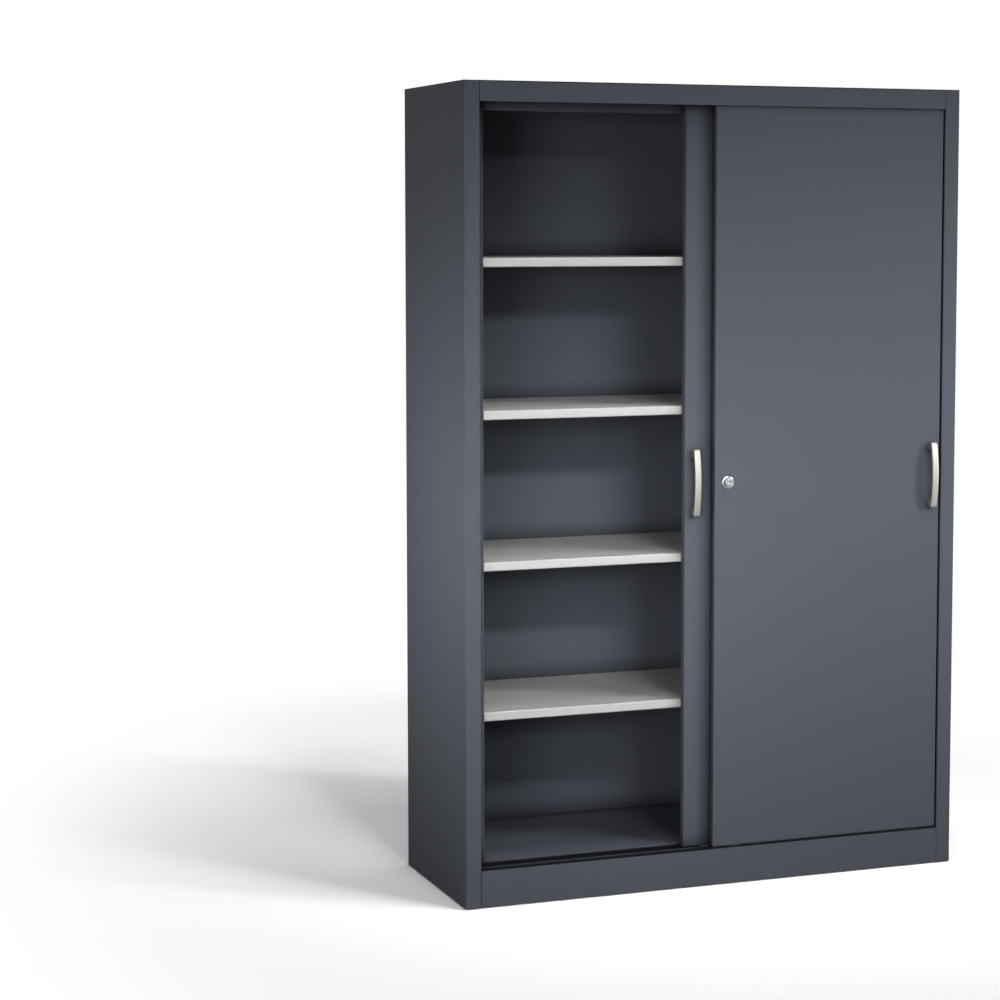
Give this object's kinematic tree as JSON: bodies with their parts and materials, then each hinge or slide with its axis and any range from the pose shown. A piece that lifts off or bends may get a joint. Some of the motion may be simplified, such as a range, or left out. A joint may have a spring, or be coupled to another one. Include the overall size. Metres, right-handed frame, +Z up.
{
  "type": "sliding door cabinet",
  "caption": "Tall sheet-steel cabinet with shelves on hook-in clips and doors that roll past each other in a two-channel track, with bow handles and a push lock.",
  "frame": {"origin": "centre of the footprint at floor level, the footprint taken from the front of the right door's handle to the back panel", "axes": "+Z up; +X to the right seen from the front; +Y from the front of the cabinet to its back"},
  "size_m": [1.2, 0.4458, 1.8],
  "materials": {
    "anthracite_powder_coat": "fine-textured powder coat, anthracite, low sheen",
    "galvanised_steel": "smooth galvanised sheet, light grey",
    "satin_nickel": "satin nickel on a die casting",
    "lock_chrome": "polished chrome plate",
    "zinc_steel": "bright zinc-plated steel",
    "black_plastic": "moulded polyamide, black",
    "stop_rubber": "moulded rubber, black"
  },
  "bodies": {
    "carcass": {"left_side_panel": "anthracite_powder_coat", "right_side_panel": "anthracite_powder_coat", "back_panel": "anthracite_powder_coat", "top_panel": "anthracite_powder_coat", "bottom_panel": "anthracite_powder_coat", "header_rail": "anthracite_powder_coat", "plinth_rail": "anthracite_powder_coat", "top_guide_rail": "anthracite_powder_coat", "bottom_track": "anthracite_powder_coat", "shelf_1": "galvanised_steel", "shelf_2": "galvanised_steel", "shelf_3": "galvanised_steel", "shelf_4": "galvanised_steel", "shelf_1_clip_left_front": "zinc_steel", "shelf_1_clip_right_front": "zinc_steel", "shelf_1_clip_left_rear": "zinc_steel", "shelf_1_clip_right_rear": "zinc_steel", "shelf_2_clip_left_front": "zinc_steel", "shelf_2_clip_right_front": "zinc_steel", "shelf_2_clip_left_rear": "zinc_steel", "shelf_2_clip_right_rear": "zinc_steel", "shelf_3_clip_left_front": "zinc_steel", "shelf_3_clip_right_front": "zinc_steel", "shelf_3_clip_left_rear": "zinc_steel", "shelf_3_clip_right_rear": "zinc_steel", "shelf_4_clip_left_front": "zinc_steel", "shelf_4_clip_right_front": "zinc_steel", "shelf_4_clip_left_rear": "zinc_steel", "shelf_4_clip_right_rear": "zinc_steel", "levelling_foot_left_front": "black_plastic", "levelling_foot_right_front": "black_plastic", "levelling_foot_left_rear": "black_plastic", "levelling_foot_right_rear": "black_plastic", "left_door_stop": "stop_rubber"},
    "left_door": {"left_door_skin": "anthracite_powder_coat", "left_door_stiffener": "anthracite_powder_coat", "left_door_handle": "satin_nickel", "left_handle_screw_upper": "zinc_steel", "left_handle_screw_lower": "zinc_steel", "left_roller_bracket_a": "zinc_steel", "left_roller_bracket_b": "zinc_steel", "left_top_guide_a": "black_plastic", "left_top_guide_b": "black_plastic", "left_lock_strike": "zinc_steel"},
    "left_roller_a": {"left_roller_a": "black_plastic"},
    "left_roller_b": {"left_roller_b": "black_plastic"},
    "right_door": {"right_door_skin": "anthracite_powder_coat", "right_door_stiffener": "anthracite_powder_coat", "right_door_handle": "satin_nickel", "right_handle_screw_upper": "zinc_steel", "right_handle_screw_lower": "zinc_steel", "right_roller_bracket_a": "zinc_steel", "right_roller_bracket_b": "zinc_steel", "right_top_guide_a": "black_plastic", "right_top_guide_b": "black_plastic", "lock_housing": "lock_chrome"},
    "right_roller_a": {"right_roller_a": "black_plastic"},
    "right_roller_b": {"right_roller_b": "black_plastic"},
    "lock_cylinder": {"lock_cylinder": "lock_chrome"},
    "lock_plug": {"lock_plug": "lock_chrome"}
  },
  "joints": [
    {"name": "left_door_slide", "type": "slide", "parent": "carcass", "child": "left_door", "axis": [1, 0, 0], "range_m": [-0.49, 0]},
    {"name": "right_door_slide", "type": "slide", "parent": "carcass", "child": "right_door", "axis": [1, 0, 0], "range_m": [-0.033, 0]},
    {"name": "left_roller_a_turn", "type": "hinge", "parent": "left_door", "child": "left_roller_a", "pos_m": [-0.0115, -0.16023, 0.074], "axis": [0, 1, 0], "range_deg": [-3120, 0]},
    {"name": "left_roller_b_turn", "type": "hinge", "parent": "left_door", "child": "left_roller_b", "pos_m": [0.4685, -0.16023, 0.074], "axis": [0, 1, 0], "range_deg": [-3120, 0]},
    {"name": "right_roller_a_turn", "type": "hinge", "parent": "right_door", "child": "right_roller_a", "pos_m": [0.0515, -0.18393, 0.074], "axis": [0, 1, 0], "range_deg": [-211, 0]},
    {"name": "right_roller_b_turn", "type": "hinge", "parent": "right_door", "child": "right_roller_b", "pos_m": [0.5015, -0.18393, 0.074], "axis": [0, 1, 0], "range_deg": [-211, 0]},
    {"name": "lock_push", "type": "slide", "parent": "right_door", "child": "lock_cylinder", "axis": [0, 1, 0], "range_m": [0, 0.0075], "stiffness_N_per_m": 300, "springref_m": -0.004},
    {"name": "lock_turn", "type": "hinge", "parent": "lock_cylinder", "child": "lock_plug", "pos_m": [0.024, -0.2, 0.917], "axis": [0, 1, 0], "range_deg": [0, 90]}
  ],
  "couplings": [
    {"joint": "left_roller_a_turn", "follows": "left_door_slide", "rad_per_m": 111.11},
    {"joint": "left_roller_b_turn", "follows": "left_door_slide", "rad_per_m": 111.11},
    {"joint": "right_roller_a_turn", "follows": "right_door_slide", "rad_per_m": 111.11},
    {"joint": "right_roller_b_turn", "follows": "right_door_slide", "rad_per_m": 111.11}
  ]
}
